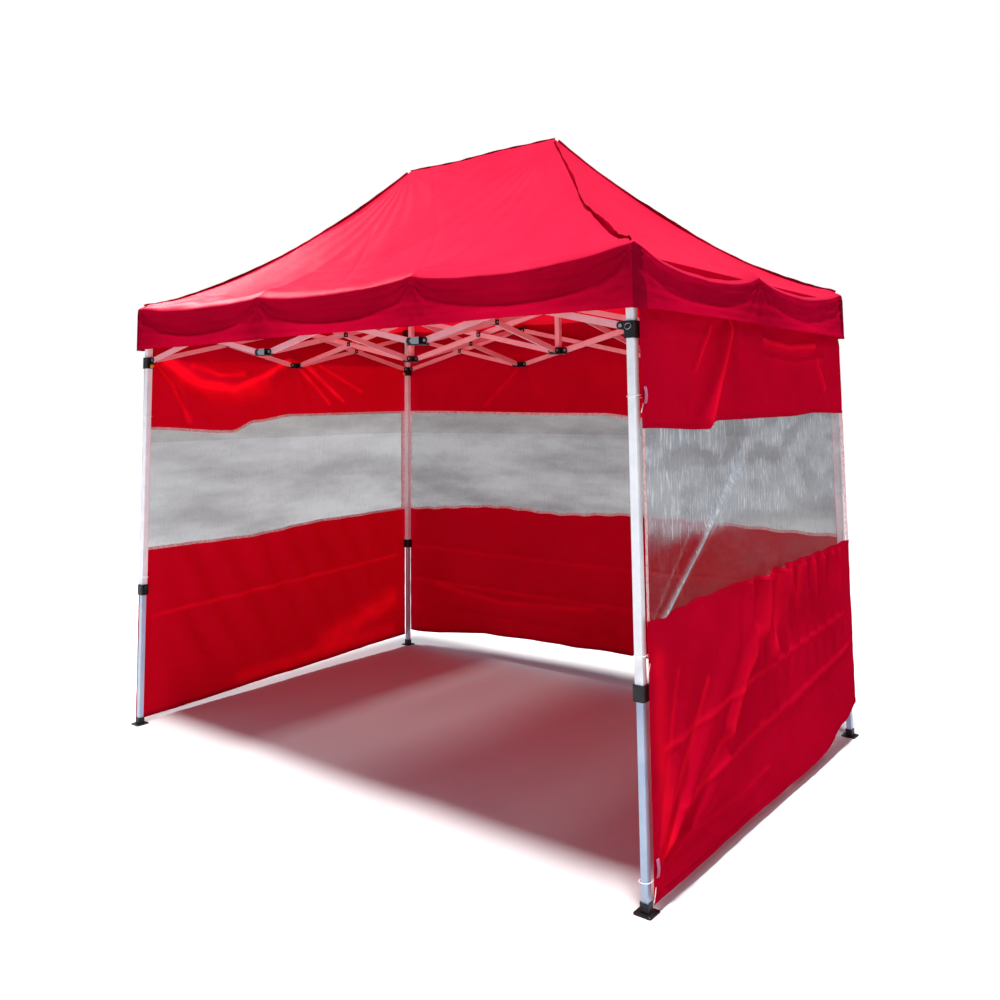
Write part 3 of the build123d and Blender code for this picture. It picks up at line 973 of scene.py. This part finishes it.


# lines along folds painted brighter, as painted glow and painted highlights: (strength, half width, line)
PAINTED_GLOW_LINES = {
    "left": [
        (0.90, 0.020, [(-0.84, 1.86), (-0.62, 1.74), (-0.40, 1.715), (-0.20, 1.79), (-0.02, 1.88)]),
        (0.35, 0.050, [(-0.74, 1.78), (-0.56, 1.70), (-0.38, 1.68), (-0.20, 1.74)]),
        (0.60, 0.012, [(-0.70, 1.84), (-0.52, 1.79), (-0.36, 1.80)]),
        (0.70, 0.008, [(0.06, 1.84), (0.30, 1.62)]),
        (0.70, 0.008, [(0.10, 1.87), (0.42, 1.64)]),
        (0.50, 0.008, [(0.22, 1.86), (0.58, 1.70)]),
        (0.55, 0.009, [(-0.90, 1.84), (-0.80, 1.72)]),
        (0.35, 0.009, [(-0.80, 1.70), (-0.70, 1.53)]),
        (0.40, 0.060, [(0.30, 0.16), (0.85, 0.32)]),
        (0.30, 0.035, [(-0.35, 0.08), (0.85, 0.13)]),
        (0.28, 0.009, [(-0.90, 0.52), (0.90, 0.60)]),
    ],
    "back": [
        (0.22, 0.014, [(-1.25, 0.42), (-0.70, 0.36), (0.0, 0.40)]),
        (0.16, 0.009, [(-1.45, 0.66), (0.0, 0.65), (1.45, 0.67)]),
        (0.20, 0.009, [(-1.45, 0.44), (0.0, 0.43), (1.45, 0.45)]),
        (0.25, 0.009, [(-0.49, 1.86), (-0.80, 1.60)]),
        (0.25, 0.009, [(0.49, 1.86), (0.95, 1.58)]),
    ],
    "right": [
        (0.90, 0.010, [(-0.27, 1.93), (-0.40, 1.72), (-0.52, 1.53)]),
        (0.75, 0.009, [(-0.46, 1.88), (-0.60, 1.72)]),
        (0.70, 0.010, [(0.62, 1.80), (0.72, 1.66)]),
        (0.75, 0.009, [(0.02, 1.85), (0.30, 1.835), (0.60, 1.855)]),
        (0.55, 0.045, [(-0.92, 0.75), (-0.90, 0.45), (-0.88, 0.20)]),
        (0.60, 0.016, [(-0.06, 0.90), (-0.10, 0.72), (-0.30, 0.55), (-0.42, 0.42)]),
        (0.60, 0.012, [(0.10, 0.89), (0.09, 0.76), (0.03, 0.62)]),
        (0.60, 0.010, [(0.22, 0.89), (0.21, 0.74)]),
        (0.55, 0.010, [(0.34, 0.89), (0.34, 0.72)]),
        (0.55, 0.010, [(0.48, 0.90), (0.50, 0.76)]),
        (0.60, 0.012, [(-0.93, 0.16), (-0.55, 0.62)]),
        (0.45, 0.010, [(-0.92, 0.14), (-0.35, 0.45)]),
        (0.40, 0.010, [(-0.93, 0.20), (-0.78, 0.70)]),
        (0.35, 0.009, [(-0.88, 0.47), (-0.30, 0.53), (0.88, 0.60)]),
        (0.35, 0.009, [(-0.80, 0.27), (-0.35, 0.33), (0.20, 0.36), (0.92, 0.44)]),
    ],
}


# how strongly a wall point is painted brighter: painted glow and painted highlight
def painted_glow_at(side, at, z):
    glow_amount = sum(groove(at, z, line, size, wide) for size, wide, line in PAINTED_GLOW_LINES[side])
    return share(glow_amount * (0.80 + 0.45 * ripple(at, z, 0, 0.10, 61)))


walls = {
    "left": {
        "ends": (-0.985, 0.985), "way": "y", "at": -HALF_X - WALL_OUT, "out": -1, "shape": left_shape,
        "legs": ["front_left_leg", "back_left_leg"],
        "top": [(-0.96, 1.506), (-0.44, 1.476), (-0.27, 1.531), (0.0, 1.563), (1.0, 1.570)],
        "low": [(-0.93, 0.864), (-0.36, 0.858), (0.31, 0.892), (1.0, 0.902)],
        "hem": [(-0.98, 0.012), (0.0, 0.035), (1.0, 0.063)],
    },
    "back": {
        "ends": (-1.475, 1.475), "way": "x", "at": HALF_Y + WALL_OUT, "out": 1, "shape": back_shape,
        "legs": ["back_left_leg", "back_right_leg"],
        "top": [(-1.47, 1.570), (0.08, 1.548), (0.40, 1.520), (0.80, 1.550), (1.47, 1.556)],
        "low": [(-1.47, 0.904), (-0.69, 0.950), (-0.23, 0.935), (0.28, 0.958), (1.47, 0.930)],
        "hem": [(-1.45, 0.089), (-0.77, 0.150), (-0.44, 0.166), (0.27, 0.180), (1.45, 0.110)],
    },
    "right": {
        "ends": (-0.985, 0.985), "way": "y", "at": HALF_X + WALL_OUT, "out": 1, "shape": right_shape,
        "legs": ["front_right_leg", "back_right_leg"],
        "top": [(-0.97, 1.530), (-0.53, 1.516), (-0.42, 1.546), (0.30, 1.550), (0.60, 1.562), (1.0, 1.556)],
        "low": [(-0.94, 0.880), (-0.61, 0.900), (-0.09, 0.898), (0.34, 0.905), (1.0, 0.915)],
        "hem": [(-0.97, 0.036), (-0.5, 0.046), (0.30, 0.042), (0.55, 0.052), (0.80, 0.115), (1.0, 0.165)],
    },
}
WALL_STEP, SEAM_TALL, HEM_TALL = 0.009, 0.015, 0.020


def window_haze_and_painted_reflection(side, at, z):
    """How hazy the window is here, and how white. The right one is whitened along one long crease with fainter ones
    beside it, and painted whiter over its upper half, most in level patches: painted reflection."""
    if side != "right":
        return (0.56, 0.06) if side == "left" else (0.66, 0.0)
    high = smooth_step((z - 1.10) / 0.08)
    patch = share(0.55 + 1.5 * ripple(at * 0.45, z, 0, 0.085, 51)) * high
    patch *= 1.0 - 0.45 * smooth_step((at - 0.30) / 0.3)
    crease = groove(at, z, [(-0.23, 1.38), (-0.54, 1.14), (-0.89, 0.89)], 1.0, 0.011)
    for shift in (-0.10, 0.07, 0.12):
        line = [(-0.25 + shift, 1.45), (-0.56 + shift, 1.16), (-0.90 + shift * 0.4, 0.90)]
        crease += groove(at, z, line, 0.22, 0.008)
    cover = 0.10 + 0.30 * high + 0.24 * patch
    return share(cover + 0.6 * crease), share(0.42 * high + 1.0 * patch + 1.4 * crease)

# Clear vinyl: 0.3 mm soft PVC sheet. It is hazy, slightly grey and scuffed in fine upright streaks, and the right
# window is whitened along a long crease and painted whiter in level patches as a painted reflection.
vinyl, out = blank("clear_vinyl_sheet")
place = node(vinyl, "ShaderNodeTexCoord").outputs["Object"]
upright = node(vinyl, "ShaderNodeMapping", {"Scale": (16.0, 16.0, 1.6)}, {"Vector": place}).outputs["Vector"]
level = node(vinyl, "ShaderNodeMapping", {"Scale": (1.2, 1.2, 5.0)}, {"Vector": place}).outputs["Vector"]
scuffs = node(
    vinyl, "ShaderNodeTexNoise", {"Scale": 8.0, "Detail": 9.0, "Roughness": 0.75}, {"Vector": upright}
)
haze = node(vinyl, "ShaderNodeTexNoise", {"Scale": 1.1, "Detail": 4.0, "Roughness": 0.6}, {"Vector": level})
fine = node(vinyl, "ShaderNodeTexNoise", {"Scale": 60.0, "Detail": 4.0}, {"Vector": place})
streaks = ramp(vinyl, scuffs.outputs["Fac"], [(0.52, 0.0), (0.74, 1.0)])
cloudy = ramp(vinyl, haze.outputs["Fac"], [(0.36, 0.0), (0.66, 1.0)])
cover = node(vinyl, "ShaderNodeAttribute", {"attribute_name": "cover"}).outputs["Fac"]
# whiteness: the crease, and painted reflection in level patches over the right window's upper half
white = node(vinyl, "ShaderNodeAttribute", {"attribute_name": "whitened_and_painted_reflection"}).outputs["Fac"]
seen = node(vinyl, "ShaderNodeMath", {"operation": "MULTIPLY_ADD", 1: 0.16}, {0: cloudy, 2: cover})
seen = node(
    vinyl, "ShaderNodeMath", {"operation": "MULTIPLY_ADD", 1: 0.12}, {0: streaks, 2: seen.outputs[0]}
)
patchy = node(vinyl, "ShaderNodeMath", {"operation": "MULTIPLY_ADD", 1: 0.75, 2: 0.35}, {0: streaks})
patchy = node(vinyl, "ShaderNodeMath", {"operation": "MULTIPLY"}, {0: patchy.outputs[0], 1: white})
scuffed = node(
    vinyl, "ShaderNodeMath", {"operation": "MULTIPLY_ADD", 1: 0.35}, {0: streaks, 2: patchy.outputs[0]}
)
ripples = node(
    vinyl, "ShaderNodeBump", {"Strength": 0.5, "Distance": 0.005}, {"Height": scuffs.outputs["Fac"]}
)
fine_bump = node(
    vinyl,
    "ShaderNodeBump",
    {"Strength": 0.2, "Distance": 0.001},
    {"Height": fine.outputs["Fac"], "Normal": ripples.outputs["Normal"]},
)
greys = [(0.0, linear("#484A4E")), (0.35, linear("#9EA1A6")), (0.9, linear("#F2F4F6"))]
shader = node(
    vinyl,
    "ShaderNodeBsdfPrincipled",
    {"Specular IOR Level": 0.16},
    {
        "Base Color": ramp(vinyl, scuffed.outputs[0], greys),
        "Roughness": ramp(vinyl, scuffs.outputs["Fac"], [(0.3, 0.10), (0.7, 0.25)]),
        "Alpha": seen.outputs[0],
        "Normal": fine_bump.outputs["Normal"],
    },
)
shade(vinyl, out, shader.outputs["BSDF"])

wall_cloth = coated_cloth("coated_red_polyester_wall", "#BC042A", "#A60322", 0.17)

# Seam tape: vinyl over red cloth, sewn down both edges, so it looks pale pink.
tape, out = blank("vinyl_over_red_seam")
place = node(tape, "ShaderNodeTexCoord").outputs["Object"]
puckers = node(tape, "ShaderNodeTexNoise", {"Scale": 70.0, "Detail": 4.0}, {"Vector": place})
pucker_bump = node(
    tape, "ShaderNodeBump", {"Strength": 0.5, "Distance": 0.002}, {"Height": puckers.outputs["Fac"]}
)
shader = node(
    tape,
    "ShaderNodeBsdfPrincipled",
    {"Alpha": 0.86},
    {
        "Base Color": ramp(
            tape, puckers.outputs["Fac"], [(0.35, linear("#D98A8C")), (0.65, linear("#EDC0BE"))]
        ),
        "Roughness": ramp(tape, puckers.outputs["Fac"], [(0.3, 0.2), (0.7, 0.4)]),
        "Normal": pucker_bump.outputs["Normal"],
    },
)
shade(tape, out, shader.outputs["BSDF"])


def wall_point(wall, at, z, proud=0.0):
    """A point of a wall: its place along it and height, moved out by the wall's folds."""
    low, high = wall["ends"]
    near_end = smooth_step(min(at - low, high - at) / 0.12)
    out = wall["shape"](at, z) * (0.15 + 0.85 * near_end)
    out += 0.010 * ripple(at, z, wall["at"], 0.45, 13) * near_end + 0.0022 * ripple(at, z, wall["at"], 0.11, 17)
    out += 0.0012 * ripple(at, z, wall["at"], 0.05, 19)
    # the top hides between the valance and the bars
    squeeze = smooth_step((z - 1.86) / 0.08)
    out = out * (1 - squeeze) - 0.006 * squeeze
    out = min(max(out, -0.012 if z > 1.80 else -0.034), 0.041) + proud
    place = wall["at"] + wall["out"] * out
    return (at, place, z) if wall["way"] == "x" else (place, at, z)


def wall_piece(name, wall, low_line, high_line, places, rows, material, proud=0.0):
    """A strip of a wall between two lines, standing out from the wall by this much."""
    vertices = []
    for row in range(rows + 1):
        for at in places:
            za, zb = low_line(at), high_line(at)
            vertices.append(wall_point(wall, at, za + (zb - za) * row / rows, proud))
    return hang_between_legs(mesh_piece(name, vertices, cells(rows, len(places)), material))


def mark_points(piece, title, values):
    """Stores a number on each point of a piece, for its material to read."""
    piece.data.attributes.new(title, "FLOAT", "POINT").data.foreach_set("value", values)


for side, wall in walls.items():
    start, end = wall["ends"]
    count = round((end - start) / WALL_STEP)
    places = [start + (end - start) * k / count for k in range(count + 1)]
    top = lambda at: WALL_TOP
    window_top = lambda at, w=wall: along_line(w["top"], at)
    window_low = lambda at, w=wall: along_line(w["low"], at) + 0.003 * math.sin(at * 37) * (w["out"] > 0)
    hem = lambda at, w=wall: along_line(w["hem"], at) + 0.003 * ripple(at, 0, w["at"], 0.12, 23)
    upper = wall_piece(f"{side}_wall_upper", wall, window_top, top, places, 60, wall_cloth)
    window = wall_piece(f"{side}_wall_window", wall, window_low, window_top, places, 64, vinyl)
    lower = wall_piece(f"{side}_wall_lower", wall, hem, window_low, places, 94, wall_cloth)
    haze_and_painted_reflection = [window_haze_and_painted_reflection(side, v.co.y, v.co.z) for v in window.data.vertices]
    mark_points(window, "cover", [cover for cover, _ in haze_and_painted_reflection])
    mark_points(window, "whitened_and_painted_reflection", [white for _, white in haze_and_painted_reflection])
    # the painted glow and highlights along chosen folds, stored for the cloth's material
    for piece in (upper, lower):
        spots = [v.co for v in piece.data.vertices]
        glow_amount = [painted_glow_at(side, co.x if side == "back" else co.y, co.z) for co in spots]
        mark_points(piece, "painted_glow", glow_amount)
    for piece in (upper, window, lower):
        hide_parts(f"{side}_wall")
    # seams above and below the window, sewn through vinyl and cloth
    for title, line, sign in (("top", window_top, -1), ("low", window_low, 1)):
        other = lambda at, line=line, sign=sign: line(at) + sign * SEAM_TALL
        pair = (other, line) if sign < 0 else (line, other)
        finish, proud = (wall_cloth, 0.0016) if side == "right" else (tape, -0.0012)
        strip = wall_piece(f"{side}_window_seam_{title}", wall, *pair, places, 3, finish, proud)
    # the ends of the window are turned back over the cloth that carries the ties
    for title, a, b in (("near", start, start + 0.016), ("far", end - 0.039, end)):
        spots = [a + (b - a) * k / 4 for k in range(5)]
        proud = 0.0010 if side == "right" else -0.0010
        strip = wall_piece(f"{side}_window_end_{title}", wall, window_low, window_top, spots, 54, tape, proud)
    # a narrow hem turned up along the bottom
    above = lambda at, line=hem: line(at) + HEM_TALL
    strip = wall_piece(f"{side}_wall_hem", wall, hem, above, places, 3, wall_cloth, 0.0013)

# Wall tabs: loops of magenta webbing sewn to the wall's edge, which the ties pass through.
webbing, out = blank("magenta_webbing")
place = node(webbing, "ShaderNodeTexCoord").outputs["Object"]
ribs = node(
    webbing, "ShaderNodeTexWave", {"Scale": 260.0, "bands_direction": "Z", "Distortion": 0.6}, {"Vector": place}
)
rib_bump = node(
    webbing, "ShaderNodeBump", {"Strength": 0.6, "Distance": 0.0008}, {"Height": ribs.outputs["Fac"]}
)
# the webbing is painted darker in the hollows between its ribs: painted shade
shader = node(
    webbing,
    "ShaderNodeBsdfPrincipled",
    {"Roughness": 0.6, "Sheen Weight": 0.3},
    {
        "Base Color": ramp(
            webbing, ribs.outputs["Fac"], [(0.0, linear("#9C2A5E")), (0.7, linear("#C85A92"))]
        ),
        "Normal": rib_bump.outputs["Normal"],
    },
)
shade(webbing, out, shader.outputs["BSDF"])
TAB_WIDE, TAB_TALL, TAB_THICK = 0.018, 0.055, 0.0016
for n, (corner, height) in enumerate((("front_right", 1.625), ("front_right", 0.140), ("front_left", 1.570)), 1):
    x, y, _ = middle_of(f"{corner}_lower_leg")
    side = 1 if x > 0 else -1
    vertices = []
    for k in range(15):
        v = k / 14
        bulge = 0.004 * math.sin(math.pi * v)
        for m in range(7):
            u = m / 6
            px = x + side * (0.0375 + bulge + 0.0006 * math.cos(u * 9))
            vertices.append((px, y + 0.004 + TAB_WIDE * u, height - TAB_TALL / 2 + TAB_TALL * v))
    tab = mesh_piece(f"wall_tab_{n}", vertices, cells(14, 7), webbing)
    thick = tab.modifiers.new("webbing_thickness", "SOLIDIFY")
    thick.thickness = TAB_THICK
    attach(tab, f"{corner}_leg" if height > 0.7 else f"{corner}_lower_leg")

# Slider ring: a bent ring of zinc plated wire on the front right slider.
x, y, _ = middle_of("front_right_lower_leg")
RING_HALF, WIRE_HALF, RING_POINTS = 0.012, 0.0013, 16
data = bpy.data.curves.new("slider_ring", "CURVE")
data.dimensions = "3D"
data.bevel_depth = WIRE_HALF
spline = data.splines.new("NURBS")
spline.points.add(RING_POINTS - 1)
for k, p in enumerate(spline.points):
    angle = 2 * math.pi * k / RING_POINTS
    flat = 0.75 if math.sin(angle) > 0.3 else 1.0  # its upper side is bent flatter
    lean = 0.003 * (1 - math.sin(angle))
    up = RING_HALF * flat * math.sin(angle)
    p.co = (x + RING_HALF * math.cos(angle), y - 0.0245 - lean, LOWER_PIN - 0.004 + up, 1)
spline.use_cyclic_u = True
ring_piece = placed("slider_ring", data, zinc)
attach(ring_piece, "front_right_slider")

# Floor and light: a plain pale floor, a soft sun overhead, a lamp high on the left, a weaker one at the
# right, and a pale room all round.
FLOOR_HALF = 40.0
around = [(sx * FLOOR_HALF, sy * FLOOR_HALF, 0) for sx, sy in ((-1, -1), (1, -1), (1, 1), (-1, 1))]
floor_mesh = bpy.data.meshes.new("studio_floor")
floor_mesh.from_pydata(around, [], [(0, 1, 2, 3)])
paper, out = blank("pale_studio_paper")
shader = node(paper, "ShaderNodeBsdfPrincipled", {"Base Color": linear("#D2D2D2"), "Roughness": 0.9})
shade(paper, out, shader.outputs["BSDF"])
floor = placed("studio_floor", floor_mesh, paper)


def aimed(holder, direction):
    holder.rotation_euler = Vector(direction).to_track_quat("-Z", "Y").to_euler()


def soft_light(name, spot, aim, side, power):
    lamp = bpy.data.lights.new(name, "AREA")
    lamp.shape, lamp.size, lamp.energy = "SQUARE", side, power
    holder = placed(name, lamp)
    holder.location = spot
    aimed(holder, Vector(aim) - Vector(spot))


sun = bpy.data.lights.new("overhead", "SUN")
sun.energy, sun.angle = 5.2, math.radians(7)
aimed(placed("overhead", sun), (-0.07, 0.10, -1.0))
soft_light("left_high", (-5.4, 0.1, 5.6), (-1.5, -0.3, 1.3), 0.9, 360)
soft_light("right_top", (5.0, -1.5, 6.5), (1.4, 0, 1.2), 1.5, 60)
world = bpy.data.worlds.new("pale_room")
bpy.context.scene.world = world
world.use_nodes = True
# the room is seen as white paper, and gives a weak, slightly blue light
tree = world.node_tree
sight = tree.nodes.new("ShaderNodeLightPath")
room = tree.nodes.new("ShaderNodeMix")
room.data_type = "RGBA"
room.inputs[6].default_value = (0.215, 0.245, 0.305, 1)
room.inputs[7].default_value = (1, 1, 1, 1)
tree.links.new(sight.outputs["Is Camera Ray"], room.inputs[0])
tree.links.new(room.outputs[2], tree.nodes["Background"].inputs["Color"])
bpy.context.scene.view_settings.view_transform = "Standard"
